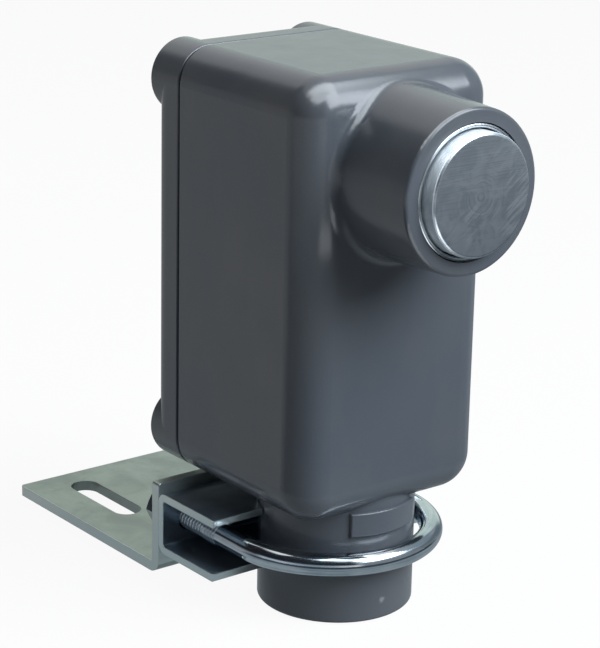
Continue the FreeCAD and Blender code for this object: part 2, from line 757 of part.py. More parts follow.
def make_relay():
    body = block("output_relay", zero, board_low + size.relay_level,
                 size.relay_width, size.relay_height, board_back, size.relay_depth)
    fillet(body, size.relay_edge, lambda edge: not at("Y", board_back)(edge))
    return body


def make_terminals():
    level = board_low + size.block_level
    half = size.block_height / 2
    width = size.block_pitch * terminals
    body = block("terminal_block", zero, level, width, size.block_height, board_back, size.block_depth)
    face = board_back + size.block_depth
    spots = [(size.block_pitch * (number - (terminals - 1) / 2), level) for number in range(terminals)]
    holes(body, face, size.well_depth, spots, size.well_diameter / 2, reverse=True)

    # Wire entries on the side that faces the hub
    low = board_back + size.entry_lift
    side = size.entry_width / 2
    sketch = new_sketch(body, "XY_Plane", level - half)
    for x, z in spots:
        rectangle(sketch, x - side, low, x + side, low + size.entry_width)
    pocket(body, sketch, size.entry_depth, reverse=True)

    # A sloping front edge over the wire entries
    chamfer(body, size.block_slope, both(along("X"), at("Y", face), at("Z", level - half)))
    screws = new_body("terminal_screws")
    head = size.well_diameter / 2 - size.turning_gap
    seat = face - size.well_depth
    slot = size.terminal_slot / 2
    pegs(screws, seat, size.terminal_head, spots, head, reverse=True)
    sketch = new_sketch(screws, "XZ_Plane", seat + size.terminal_head)
    for x, z in spots:
        rectangle(sketch, x - head, z - slot, x + head, z + slot)
    pocket(screws, sketch, size.terminal_slot, reverse=True)


def make_capacitor():
    body = new_body("filter_capacitor")
    level = board_low + size.can_level
    radius = size.can_diameter / 2
    spot = [(-size.can_offset, level)]
    groove = board_back + size.can_foot
    can = groove + size.can_groove
    top = board_back + size.can_length
    pegs(body, board_back, size.can_foot, spot, radius, reverse=True)
    pegs(body, groove, size.can_groove, spot, radius - size.can_neck, reverse=True)
    pegs(body, can, top - can, spot, radius, reverse=True)
    chamfer(body, size.can_neck, at("Y", top))
    return body


def make_chip():
    level = board_low + size.chip_level
    body = block("signal_chip", size.chip_offset, level, size.chip_width, size.chip_height,
                 board_back + size.chip_lift, size.chip_depth)

    # Legs that go down to the board along both long sides
    half = size.leg_width / 2
    rise = size.leg_span / 2
    shoulder = board_back + size.chip_lift + size.chip_depth / 2
    first = size.chip_offset - size.leg_pitch * (chip_legs - 1) / 2
    places = [first + size.leg_pitch * number for number in range(chip_legs)]
    sketch = new_sketch(body, "XZ_Plane", board_back)
    for x in places:
        rectangle(sketch, x - half, level - rise, x + half, level - rise + size.leg_thickness)
        rectangle(sketch, x - half, level + rise - size.leg_thickness, x + half, level + rise)
    pad(body, sketch, shoulder - board_back, reverse=True)
    sketch = new_sketch(body, "XZ_Plane", shoulder)
    for x in places:
        rectangle(sketch, x - half, level - rise, x + half, level + rise)
    pad(body, sketch, size.leg_thickness)
    return body


# The clamp

def make_u_bolt():
    body = new_body("u_bolt")
    sketch = new_sketch(body, "XZ_Plane", bend_middle)
    circles(sketch, [(leg_across, size.bolt_height)], rod_radius)
    bend = turn(body, sketch)
    bend.Angle = 180
    doc.recompute()
    if body.Shape.BoundBox.YMax > bend_middle.value + tolerance:
        bend.Reversed = True
        doc.recompute()
    plain = leg_end - size.thread_length
    pegs(body, bend_middle, plain - bend_middle, u_legs, rod_radius, reverse=True)
    pegs(body, plain, size.thread_length, u_legs, size.thread_root / 2, reverse=True)
    chamfer(body, size.thread_lead, at("Y", leg_end))
    return body


def make_saddle():
    body = new_body("clamp_saddle")
    sheet_size = size.saddle_sheet
    start = size.saddle_front
    back = size.saddle_back
    inner = back - sheet_size
    sketch = new_sketch(body, "YZ_Plane", zero)
    outline(sketch, [(start, saddle_bottom), (back, saddle_bottom), (back, saddle_top), (start, saddle_top),
                     (start, saddle_top - sheet_size), (inner, saddle_top - sheet_size),
                     (inner, saddle_bottom + sheet_size), (start, saddle_bottom + sheet_size)])
    pad(body, sketch, size.clamp_width, middle=True)
    fillet(body, size.saddle_edge, both(along("X"), at("Y", start)))
    fillet(body, size.saddle_bend, both(along("X"), at("Y", inner)))
    fillet(body, size.saddle_bend + sheet_size, both(along("X"), at("Y", back)))

    # Round notches that the hub sits in, and holes for the legs
    sketch = new_sketch(body, "XY_Plane", saddle_bottom)
    circles(sketch, [(zero, zero)], notch_radius)
    pocket(body, sketch, size.saddle_height, reverse=True)
    holes(body, inner, sheet_size, u_legs, leg_hole)
    return body


def make_angle():
    body = new_body("angle_bracket")
    start = size.saddle_back
    low = size.plate_level
    sketch = new_sketch(body, "YZ_Plane", zero)
    outline(sketch, [(start, low), (size.plate_back, low), (size.plate_back, low + size.plate_sheet),
                     (plate_back_face, low + size.plate_sheet), (plate_back_face, size.plate_top),
                     (start, size.plate_top)])
    pad(body, sketch, size.clamp_width, middle=True)
    inner_bend = both(along("X"), at("Y", plate_back_face), at("Z", low + size.plate_sheet))
    fillet(body, size.plate_bend, inner_bend)
    fillet(body, size.plate_bend + size.plate_sheet, both(along("X"), at("Y", start), at("Z", low)))
    fillet(body, size.plate_corner, both(along("Z"), at("Y", size.plate_back)))
    fillet(body, size.plate_corner, both(along("Y"), at("Z", size.plate_top)))
    sketch = new_sketch(body, "XY_Plane", low)
    for side in (-size.slot_across / 2, size.slot_across / 2):
        long_slot(sketch, side, size.slot_near, size.slot_far, size.slot_opening)
    pocket(body, sketch, size.plate_sheet, reverse=True)
    holes(body, start, size.plate_sheet, u_legs, leg_hole)
    return body


def make_washers():
    body = new_body("lock_washers")
    pegs(body, plate_back_face, size.washer_thickness, u_legs, size.washer_diameter / 2, reverse=True)
    holes(body, plate_back_face, size.washer_thickness, u_legs, leg_hole)
    sketch = new_sketch(body, "XZ_Plane", plate_back_face)
    half = size.washer_split / 2
    for x, z in u_legs:
        rectangle(sketch, x - half, z, x + half, z + size.washer_diameter)
    pocket(body, sketch, size.washer_thickness)
    return body


def make_nuts():
    """Hexagon nuts with their outer corners turned off, standing point outwards."""
    corner = size.nut_flats / math.sqrt(3)
    turned_off = size.nut_flats / 2
    turned_root = turned_off + size.nut_height * size.nut_slope
    nuts = []
    for name, (x, z) in zip(("left", "right"), u_legs):
        prism = doc.addObject("Part::Prism", f"{name}_hexagon")
        cone = doc.addObject("Part::Cone", f"{name}_turning")
        bore = doc.addObject("Part::Cylinder", f"{name}_bore")
        prism.Polygon = nut_sides
        bind(prism, Circumradius=corner, Height=size.nut_height)
        bind(cone, Radius1=turned_root, Radius2=turned_off, Height=size.nut_height)
        bind(bore, Radius=size.thread_root / 2 + size.turning_gap, Height=size.nut_height)
        for piece in (prism, cone, bore):
            piece.Placement.Rotation = FreeCAD.Rotation(FreeCAD.Vector(1, 0, 0), -90)
            bind(piece, **{"Placement.Base.x": x, "Placement.Base.y": nut_front, "Placement.Base.z": z})
        shaped = doc.addObject("Part::Common", f"{name}_shaped")
        shaped.Base = prism
        shaped.Tool = cone
        nut = doc.addObject("Part::Cut", f"{name}_nut")
        nut.Base = shaped
        nut.Tool = bore
        nuts.append(nut)
    group = doc.addObject("Part::Compound", "clamp_nuts")
    group.Links = nuts
    doc.recompute()
    return group


make_housing()
make_cover()
make_gasket()
slotted_screws("cover_screws", cover_screws, screw_seat, size.screw_head, size.screw_head_height,
               size.screw_diameter, screw_seat - seam + size.screw_reach)
make_inserts()
make_probe()
make_seal_ring()
make_sleeve()
make_lock_nut()
make_coil()
make_magnet()
make_board()
slotted_screws("board_screws", board_screws, board_back, size.board_screw_head, size.board_head_height,
               size.board_screw, size.board_thickness + size.board_screw_reach)
make_transformer()
make_relay()
make_terminals()
make_capacitor()
make_chip()
make_u_bolt()
make_saddle()
make_angle()
make_washers()
make_nuts()
doc.recompute()

# Every object is sound before anything is written
for item in doc.Objects:
    if "Invalid" in item.State or "Error" in item.State:
        raise RuntimeError(f"{item.Label} failed: {item.State}")
pieces = [item for item in doc.Objects if item.TypeId == "PartDesign::Body" or item.Label == "clamp_nuts"]
for piece in pieces:
    if piece.Shape.isNull() or not piece.Shape.isValid():
        raise RuntimeError(f"{piece.Label} has no valid shape")

os.makedirs("parts", exist_ok=True)
for piece in pieces:
    piece.Shape.exportStep(os.path.join("parts", piece.Label + ".step"))
    print(f"{piece.Label}: {len(piece.Shape.Solids)} solids, {piece.Shape.Volume:.1f} mm3")
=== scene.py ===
import bmesh
import bpy
import math
from mathutils import Matrix, Vector


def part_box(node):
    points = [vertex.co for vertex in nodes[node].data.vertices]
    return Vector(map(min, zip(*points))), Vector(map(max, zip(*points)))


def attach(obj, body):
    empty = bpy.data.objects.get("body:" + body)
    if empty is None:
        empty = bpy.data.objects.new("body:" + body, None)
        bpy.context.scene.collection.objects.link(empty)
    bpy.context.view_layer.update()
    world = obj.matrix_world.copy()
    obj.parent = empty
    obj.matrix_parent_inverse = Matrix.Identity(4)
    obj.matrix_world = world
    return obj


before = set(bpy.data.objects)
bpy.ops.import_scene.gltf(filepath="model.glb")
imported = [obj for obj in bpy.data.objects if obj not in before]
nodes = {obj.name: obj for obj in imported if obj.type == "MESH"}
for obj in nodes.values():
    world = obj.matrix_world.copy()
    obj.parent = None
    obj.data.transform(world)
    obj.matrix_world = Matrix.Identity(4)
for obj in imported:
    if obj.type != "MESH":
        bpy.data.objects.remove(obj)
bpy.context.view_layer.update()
mm = 0.001
half = 0.5
white = (1.0, 1.0, 1.0, 1.0)
print("frame loaded,", len(nodes), "nodes")


# Node writing

class Wire:  # an output socket that can be added, multiplied and fed to more nodes
    def __init__(self, tree, socket):
        self.tree = tree
        self.socket = socket

    def node(self, kind, settings=None, inputs=None, out=0):  # any node: type, settings, sockets
        made = self.tree.nodes.new(kind)
        for name, value in (settings or {}).items():
            setattr(made, name, value)
        for name, value in (inputs or {}).items():
            if isinstance(value, Wire):
                self.tree.links.new(value.socket, made.inputs[name])
            else:
                made.inputs[name].default_value = value
        return Wire(self.tree, made.outputs[out] if len(made.outputs) else None)

    def math(self, operation, first, second):
        return self.node("ShaderNodeMath", {"operation": operation}, {0: first, 1: second})

    def __add__(self, other):
        return self.math("ADD", self, other)

    def __radd__(self, other):
        return self.math("ADD", other, self)

    def __sub__(self, other):
        return self.math("SUBTRACT", self, other)

    def __rsub__(self, other):
        return self.math("SUBTRACT", other, self)

    def __mul__(self, other):
        return self.math("MULTIPLY", self, other)

    def __rmul__(self, other):
        return self.math("MULTIPLY", other, self)


screen = {"levels": 255, "knee": 0.04045, "slope": 12.92, "offset": 0.055, "power": 2.4}  # the sRGB curve
colourMix = {"factor": 0, "first": 6, "second": 7, "result": 2}  # a Mix node's sockets for colours
noiseMiddle = 0.5  # the usual level of a noise
bevelSamples = 6


def tint(red, green, blue):  # screen colour, 0 to 255, as the linear colour that shaders take
    def linear(value):
        share = value / screen["levels"]
        if share <= screen["knee"]:
            return share / screen["slope"]
        return ((share + screen["offset"]) / (1 + screen["offset"])) ** screen["power"]
    return (linear(red), linear(green), linear(blue), 1.0)


def smooth(value, low, high):  # 0 at low, 1 at high, eased between
    return value.node("ShaderNodeMapRange", {"interpolation_type": "SMOOTHSTEP"},
                      {"Value": value, "From Min": low, "From Max": high})


def blend(factor, first, second):  # two colours mixed by a value
    return factor.node("ShaderNodeMix", {"data_type": "RGBA"},
                       {colourMix["factor"]: factor, colourMix["first"]: first,
                        colourMix["second"]: second}, out=colourMix["result"])


def mixed(first, second, share):  # two values, the second by its share
    return first * (1 - share) + second * share


def swing(noise, reach):  # a noise about 0 instead of its middle
    return (noise - noiseMiddle) * reach


def moved(place, shift=(0, 0, 0), turn=(0, 0, 0), scale=(1, 1, 1)):  # scaled, turned, then shifted
    return place.node("ShaderNodeMapping", {"vector_type": "POINT"},
                      {"Vector": place, "Location": shift, "Rotation": turn, "Scale": scale})


def grain(place, scale, detail=2.0, roughness=0.5, distortion=0.0):
    return place.node("ShaderNodeTexNoise", {"noise_dimensions": "3D"},
                      {"Vector": place, "Scale": scale, "Detail": detail,
                       "Roughness": roughness, "Distortion": distortion}, out="Fac")


def cells(place, scale, out="Distance"):
    return place.node("ShaderNodeTexVoronoi", {"feature": "F1"}, {"Vector": place, "Scale": scale},
                      out=out)


def away(place, point):  # distance from a point of the object
    return place.node("ShaderNodeVectorMath", {"operation": "DISTANCE"}, {0: place, 1: point},
                      out="Value")


def axes(place):
    return [place.node("ShaderNodeSeparateXYZ", None, {0: place}, out=name) for name in ("X", "Y", "Z")]


def bump(height, distance, normal=None):
    inputs = {"Height": height, "Distance": distance, "Strength": 1.0}
    if normal:
        inputs["Normal"] = normal
    return height.node("ShaderNodeBump", None, inputs)


def edgeNormal(place, radius):  # normals that round a sharp edge off
    return place.node("ShaderNodeBevel", {"samples": bevelSamples}, {"Radius": radius})


def newFinish(name):  # an empty material and its object coordinates
    material = bpy.data.materials.new(name)
    material.use_nodes = True
    tree = material.node_tree
    tree.nodes.clear()
    place = Wire(tree, tree.nodes.new("ShaderNodeTexCoord").outputs["Object"])
    return material, place


shaderSockets = {"colour": "Base Color", "roughness": "Roughness", "metallic": "Metallic",
                 "normal": "Normal", "specular": "Specular IOR Level"}


def close(material, place, **values):  # the shader that ends every finish
    inputs = {shaderSockets[key]: value for key, value in values.items()}
    shader = place.node("ShaderNodeBsdfPrincipled", None, inputs)
    place.node("ShaderNodeOutputMaterial", None, {"Surface": shader})
    return material


def addObject(name, data):  # a new object of the scene, at the origin
    made = bpy.data.objects.new(name, data)
    bpy.context.scene.collection.objects.link(made)
    return made


# Camera

shot = {
    "frameHeight": 648,  # pixels
    "focalLength": 2337.362,  # pixels
    "azimuth": -38.181,  # degrees
    "elevation": 17.584,
    "roll": 1.204,
    "distance": 607.136 * mm,
    "aim": (-13.779 * mm, 0.0, 79.084 * mm),
    "sensor": 36.0,  # millimetres, along the frame's height
}


def around(azimuth, elevation, distance):  # a point round the object: azimuth 0 in front, 90 at right
    side, rise = math.radians(azimuth), math.radians(elevation)
    return distance * Vector((math.sin(side) * math.cos(rise), -math.cos(side) * math.cos(rise),
                              math.sin(rise)))


def makeCamera():
    azimuth, roll = math.radians(shot["azimuth"]), math.radians(shot["roll"])
    back = around(shot["azimuth"], shot["elevation"], 1.0)
    level = Vector((math.cos(azimuth), math.sin(azimuth), 0.0))
    upright = back.cross(level)
    right = level * math.cos(roll) + upright * math.sin(roll)
    up = upright * math.cos(roll) - level * math.sin(roll)
    data = bpy.data.cameras.new("photoCamera")
    data.sensor_width = shot["sensor"]
    data.lens = shot["focalLength"] / shot["frameHeight"] * shot["sensor"]
    camera = addObject("photoCamera", data)
    turn = Matrix((right, up, back)).transposed().to_4x4()
    camera.matrix_world = Matrix.Translation(Vector(shot["aim"]) + back * shot["distance"]) @ turn
    bpy.context.scene.camera = camera


makeCamera()
bpy.context.scene.view_settings.view_transform = "Standard"
print("camera set")


# Studio: white floor and background, soft lamps, and cards that only reflections see

studio = {
    "floorSize": 6.0,
    "floorTone": 0.88,  # as the camera and mirrors see it
    "floorBounce": 0.32,  # as it lights the object
    "floorGlow": 0.93,  # share of plain white in what the camera sees of the floor
    "floorDrop": 0.2 * mm,
    "ambient": (0.92, 0.98, 1.06, 1.0),
    "ambientLevel": 0.11,
    "target": (0.0, 0.0, 75 * mm),
    "lamps": {  # azimuth, elevation, distance, width, height, watts, colour, seen in reflections
        "keyLamp": (26, 40, 1.05, 0.80, 0.80, 16.5, (0.93, 1.0, 1.10), True),
        "fillLamp": (-145, 5, 1.00, 0.80, 0.60, 4.4, (1.03, 1.0, 0.98), False),
    },
    # from and to azimuth, inner and outer (radius, height), brightness, fades at sides, low and high
    "cards": {
        "underBoard": (-180, 180, (0.004, 0.0), (0.120, 0.0),
                       (0.32, 0.37, 0.40), 0.0, 0.0, 0.25),
        "nearBoard": (-128, 84, (0.050, -0.05 * mm), (0.52, -0.05 * mm),
                      (0.05, 0.065, 0.085), 0.08, 0.02, 0.1),
        "leftBoard": (-215, -84, (0.05, -0.1 * mm), (1.10, -0.1 * mm),
                      (0.41, 0.43, 0.44), 0.12, 0.0, 0.1),
        "rightBoard": (58, 160, (0.05, -0.1 * mm), (1.05, -0.1 * mm),
                       (0.24, 0.28, 0.31), 0.12, 0.0, 0.1),
        "leftLow": (-200, -70, (0.97, -0.02), (0.97, 0.36),
                    (0.25, 0.26, 0.28), 0.10, 0.0, 0.3),
        "leftCard": (-172, -52, (0.95, 0.12), (0.95, 1.80),
                     (0.02, 0.02, 0.025), 0.12, 0.08, 0.3),
        "frontLow": (-112, -24, (0.46, -0.02), (0.46, 0.20),
                     (0.62, 0.68, 0.74), 0.15, 0.0, 0.3),
        "cameraCard": (-112, -4, (0.44, 0.08), (0.44, 1.60),
                       (0.016, 0.02, 0.026), 0.08, 0.05, 0.15),
        "rightCard": (-10, 66, (0.45, -0.02), (0.45, 0.33),
                      (0.27, 0.30, 0.33), 0.10, 0.0, 0.3),
        "rightLow": (56, 126, (0.92, -0.02), (0.92, 0.40),
                     (0.22, 0.25, 0.27), 0.10, 0.0, 0.2),
        "rightHigh": (56, 116, (0.90, 0.25), (0.90, 1.40),
                      (0.36, 0.42, 0.45), 0.10, 0.1, 0.2),
        "backCard": (106, 176, (0.62, -0.02), (0.62, 0.50),
                     (0.76, 0.87, 0.81), 0.15, 0.0, 0.3),
    },
    "panels": {  # left, right, front and back edge, height, brightness, fade at the edges
        "overPanel": (-0.120, 0.100, -0.088, 0.010, 0.25, (8.0, 8.6, 8.9), 0.28),
        "probePanel": (-0.100, -0.005, -0.110, -0.035, 0.219, (6.4, 6.8, 7.0), 0.2),
        "underPanel": (-0.045, -0.004, -0.085, -0.050, 0.096, (2.2, 2.3, 2.4), 0.25),
    },
    "cardSteps": 24,
    "cellCorners": ((0, 0), (1, 0), (1, 1), (0, 1)),  # of one cell of a card, across and up
    "hiddenFrom": ("camera", "diffuse", "shadow", "transmission", "volume_scatter"),
}


def seesBackdrop(start):  # 1 for rays that show the background: camera, mirror and glass rays
    flags = [start.node("ShaderNodeLightPath", None, None, out=name)
             for name in ("Is Camera Ray", "Is Glossy Ray", "Is Transmission Ray")]
    both = flags[0].math("MAXIMUM", flags[0], flags[1])
    return both.math("MAXIMUM", both, flags[2])


def makeWorld():
    world = bpy.data.worlds.new("studioWorld")
    world.use_nodes = True
    tree = world.node_tree
    tree.nodes.clear()
    start = Wire(tree, None)
    light = start.node("ShaderNodeBackground", None,
                       {"Color": studio["ambient"], "Strength": studio["ambientLevel"]})
    plainWhite = start.node("ShaderNodeBackground", None, {"Color": white, "Strength": 1.0})
    shader = start.node("ShaderNodeMixShader", None, {0: seesBackdrop(start), 1: light, 2: plainWhite})
    start.node("ShaderNodeOutputWorld", None, {"Surface": shader})
    bpy.context.scene.world = world


def makeFloor():
    material, place = newFinish("studioFloor")
    seen = seesBackdrop(place)
    tone = studio["floorBounce"] + seen * (studio["floorTone"] - studio["floorBounce"])
    shade = place.node("ShaderNodeBsdfDiffuse", None, {"Color": tone})
    glow = place.node("ShaderNodeEmission", None, {"Color": white, "Strength": 1.0})
    shader = place.node("ShaderNodeMixShader", None, {0: seen * studio["floorGlow"], 1: shade, 2: glow})
    place.node("ShaderNodeOutputMaterial", None, {"Surface": shader})
    reach = studio["floorSize"] / 2
    corners = [(-reach, -reach), (reach, -reach), (reach, reach), (-reach, reach)]
    mesh = bpy.data.meshes.new("floor")
    mesh.from_pydata([(x, y, -studio["floorDrop"]) for x, y in corners], [], [(0, 1, 2, 3)])
    mesh.materials.append(material)
    floor = addObject("floor", mesh)


def makeLamp(name, azimuth, elevation, distance, width, height, power, colour, mirrored):
    data = bpy.data.lights.new(name, "AREA")
    data.shape = "RECTANGLE"
    data.size = width
    data.size_y = height
    data.energy = power
    data.color = colour
    lamp = addObject(name, data)
    lamp.visible_glossy = mirrored
    offset = around(azimuth, elevation, distance)
    turn = (-offset).to_track_quat("-Z", "Y").to_matrix().to_4x4()
    lamp.matrix_world = Matrix.Translation(Vector(studio["target"]) + offset) @ turn


def stageCard(name, corners, brightness, sides, low, high):  # glowing cells, each given by its corners
    mesh = bpy.data.meshes.new(name)
    build = bmesh.new()
    layer = build.loops.layers.uv.new("card")
    for step, places in enumerate(corners):
        face = build.faces.new([build.verts.new(place) for place in places])
        for loop, (u, v) in zip(face.loops, studio["cellCorners"]):
            loop[layer].uv = ((step + u) / len(corners), v)
    build.to_mesh(mesh)
    build.free()
    material, place = newFinish(name)
    across, upward = axes(Wire(place.tree, place.tree.nodes.new("ShaderNodeUVMap").outputs[0]))[:2]
    mask = smooth(1 - upward, 0, high)
    if low:
        mask = mask * smooth(upward, 0, low)
    if sides:
        mask = mask * smooth(across, 0, sides) * smooth(1 - across, 0, sides)
    glow = place.node("ShaderNodeEmission", None, {"Color": (*brightness, 1), "Strength": 1.0})
    clear = place.node("ShaderNodeBsdfTransparent")
    shader = place.node("ShaderNodeMixShader", None, {0: mask, 1: clear, 2: glow})
    place.node("ShaderNodeOutputMaterial", None, {"Surface": shader})
    mesh.materials.append(material)
    card = addObject(name, mesh)
    for ray in studio["hiddenFrom"]:
        setattr(card, "visible_" + ray, False)


def makeCard(name, start, end, inner, outer, brightness, sides, low, high):  # bent round the object
    steps = studio["cardSteps"]
    angles = [start + (end - start) * step / steps for step in range(steps + 1)]
    rows = [[around(angle, 0, radius) + Vector((0, 0, height)) for radius, height in (inner, outer)]
            for angle in angles]
    corners = [(first[0], second[0], second[1], first[1]) for first, second in zip(rows, rows[1:])]
    stageCard(name, corners, brightness, sides, low, high)


def makePanel(name, left, right, front, back, height, brightness, fade):  # flat and level
    outline = ((left, front), (right, front), (right, back), (left, back))
    corners = [Vector((x, y, height)) for x, y in outline]
    stageCard(name, [corners], brightness, fade, fade, fade)


makeWorld()
makeFloor()
for lampName, lampValues in studio["lamps"].items():
    makeLamp(lampName, *lampValues)
for cardName, cardValues in studio["cards"].items():
    makeCard(cardName, *cardValues)
for panelName, panelValues in studio["panels"].items():
    makePanel(panelName, *panelValues)
print("studio set")


# Moulded plastic of the box and its cover

# a noise is given as scale, detail, roughness, distortion; a range is where a value goes from 0 to 1
moulding = {
    "cool": tint(84, 90, 97),
    "warm": tint(92, 95, 98),
    "mark": tint(160, 166, 170),
    "cloud": (22.0, 3.0, 0.55),
    "smear": (130.0, 4.0, 0.6, 0.4),
    "smearStretch": (1.0, 1.0, 0.35),
    "smearShare": 0.25,
    "toneRange": (0.30, 0.70),
    "pepper": (2600.0, 1.0),
    "fleckRange": (0.66, 0.80),
    "fleckShare": 0.10,
    "speckScale": 70.0,
    "speckRange": (0.020, 0.008),
    "speckPick": (0.90, 0.92),  # the few cells that have a speck
    "speckShare": 0.3,
    "scuff": (-0.8 * mm, -21.1 * mm, 5.4 * mm),  # a scuffed spot on the front of the hub
    "scuffRange": (1.9 * mm, 0.9 * mm),
    "scuffShare": 0.5,
    "ragged": (900.0, 3.0),
    "raggedReach": 1.2 * mm,
    "roughness": 0.20,
    "smearRoughness": 0.16,
    "wornRoughness": 0.25,
    "wave": (42.0, 1.0),
    "waveHeight": 0.22 * mm,
    "peel": (720.0, 2.0),
    "peelHeight": 0.016 * mm,
    "specular": 0.5,
}


def mouldedGrey():
    material, place = newFinish("mouldedGrey")
    cloud = grain(place, *moulding["cloud"])
    smear = grain(moved(place, scale=moulding["smearStretch"]), *moulding["smear"])
    tone = smooth(mixed(cloud, smear, moulding["smearShare"]), *moulding["toneRange"])
    colour = blend(tone, moulding["cool"], moulding["warm"])
    fleck = smooth(grain(place, *moulding["pepper"]), *moulding["fleckRange"]) * moulding["fleckShare"]
    colour = blend(fleck, colour, moulding["mark"])
    picked = smooth(cells(place, moulding["speckScale"], "Color"), *moulding["speckPick"])
    specks = smooth(cells(place, moulding["speckScale"]), *moulding["speckRange"]) * picked
    ragged = grain(place, *moulding["ragged"]) * moulding["raggedReach"]
    scuff = smooth(away(place, moulding["scuff"]) + ragged, *moulding["scuffRange"])
    worn = specks * moulding["speckShare"] + scuff * moulding["scuffShare"]
    colour = blend(worn, colour, moulding["mark"])
    roughness = moulding["roughness"] + swing(smear, moulding["smearRoughness"])
    roughness = roughness + worn * moulding["wornRoughness"]
    wave = bump(grain(place, *moulding["wave"]), moulding["waveHeight"])
    peel = bump(grain(place, *moulding["peel"]), moulding["peelHeight"], wave)
    return close(material, place, colour=colour, roughness=roughness, normal=peel,
                 specular=moulding["specular"])


# Plated, drawn and machined metals

platings = {  # tone, dull tone, roughness, stretch of the drawn grain, edge radius, metallic
    "brightZinc": (tint(206, 211, 214), tint(176, 185, 192), 0.16, (60, 60, 60), 0.15 * mm, 1.0),
    "blueZinc": (tint(186, 198, 208), tint(140, 156, 172), 0.22, (30, 400, 400), 0.35 * mm, 0.92),
    "paleZinc": (tint(160, 169, 163), tint(138, 147, 141), 0.34, (400, 30, 400), 0.40 * mm, 0.74),
    "plainSteel": (tint(190, 192, 192), tint(150, 154, 156), 0.42, (300, 40, 300), 0.15 * mm, 1.0),
    "sleeveSteel": (tint(208, 212, 214), tint(160, 167, 172), 0.26, (40, 40, 40), 0.12 * mm, 1.0),
    "yellowBrass": (tint(214, 182, 110), tint(176, 140, 78), 0.30, (80, 80, 80), 0.10 * mm, 1.0),
}
platedSkin = {  # what all of them share
    "cloud": (60.0, 4.0, 0.6, 0.6),
    "cloudRange": (0.36, 0.68),
    "cloudRoughness": 0.18,
    "drawn": (12.0, 3.0, 0.6),
    "drawnRange": (0.45, 0.75),
    "drawnShare": 0.35,
    "drawnRoughness": 0.10,
    "drawnHeight": 0.006 * mm,
    "pits": (1500.0, 2.0),
    "pitHeight": 0.003 * mm,
}
shearedHighlight = {  # sheet pieces, whose cut ends and front edges carry a painted highlight: a tone brighter than their skin
    "nodes": {"blueZinc": "clamp_saddle", "paleZinc": "angle_bracket"},
    "tone": tint(208, 218, 216),
    "share": 0.9,
    "depth": 0.3 * mm,
    "fullDepth": 0.12 * mm,  # where the painted edge highlight is at its full share
}


def shearedHighlightMask(place, node):  # 1 on a folded sheet's ends and front edges, where the painted highlight goes
    low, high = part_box(node)
    across, depth = axes(place)[:2]
    sides = across.math("ABSOLUTE", across, 0.0)
    ends = smooth(sides, high.x - shearedHighlight["depth"], high.x - shearedHighlight["fullDepth"])
    front = smooth(depth, low.y + shearedHighlight["depth"], low.y + shearedHighlight["fullDepth"])
    return ends.math("MAXIMUM", ends, front)


def plated(name):
    tone, dull, rough, stretch, edge, metal = platings[name]
    material, place = newFinish(name)
    cloud = grain(place, *platedSkin["cloud"])
    drawn = grain(moved(place, scale=stretch), *platedSkin["drawn"])
    colour = blend(smooth(cloud, *platedSkin["cloudRange"]), tone, dull)
    colour = blend(smooth(drawn, *platedSkin["drawnRange"]) * platedSkin["drawnShare"], colour, dull)
    # painted highlight: the cut ends and front edges of the sheet get a brighter tone
    if name in shearedHighlight["nodes"]:
        paintedHighlight = shearedHighlightMask(place, shearedHighlight["nodes"][name])
        colour = blend(paintedHighlight * shearedHighlight["share"], colour, shearedHighlight["tone"])
    roughness = rough + swing(cloud, platedSkin["cloudRoughness"])
    roughness = roughness + swing(drawn, platedSkin["drawnRoughness"])
    skin = bump(drawn, platedSkin["drawnHeight"], edgeNormal(place, edge))
    pits = bump(grain(place, *platedSkin["pits"]), platedSkin["pitHeight"], skin)
    return close(material, place, colour=colour, roughness=roughness, metallic=metal, normal=pits)


rod = {
    "tone": tint(204, 211, 216),
    "dull": tint(160, 172, 182),
    "acrossLines": 1100.0,  # stretch of the drawing lines in the rod's section
    "alongLines": 35.0,  # and along the rod
    "lines": (1.0, 3.0, 0.6),
    "cloud": (90.0, 3.0, 0.6),
    "cloudShare": 0.4,
    "toneRange": (0.38, 0.66),
    "roughness": 0.09,
    "lineRange": (0.45, 0.75),
    "lineRoughness": 0.14,
    "cloudRoughness": 0.06,
    "lineHeight": 0.012 * mm,
}


def drawnRod():  # lines that follow the U-bolt round its bend
    low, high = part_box("u_bolt")
    material, place = newFinish("drawnRod")
    across, depth, upward = axes(moved(place, shift=(0, -low.y - high.x, 0)))
    ahead = depth.math("MINIMUM", depth, 0.0)
    straight = depth.math("MAXIMUM", depth, 0.0)
    squares = across * across + ahead * ahead
    outward = squares.math("SQRT", squares, 0.0)
    along = straight + ahead.math("ARCTAN2", ahead, across) * high.x
    lane = place.node("ShaderNodeCombineXYZ", None, {"X": outward * rod["acrossLines"],
                                                     "Y": upward * rod["acrossLines"],
                                                     "Z": along * rod["alongLines"]})
    lines = grain(lane, *rod["lines"])
    cloud = grain(place, *rod["cloud"])
    tone = smooth(mixed(lines, cloud, rod["cloudShare"]), *rod["toneRange"])
    colour = blend(tone, rod["tone"], rod["dull"])
    roughness = rod["roughness"] + smooth(lines, *rod["lineRange"]) * rod["lineRoughness"]
    roughness = roughness + swing(cloud, rod["cloudRoughness"])
    return close(material, place, colour=colour, roughness=roughness, metallic=1.0,
                 normal=bump(lines, rod["lineHeight"]))


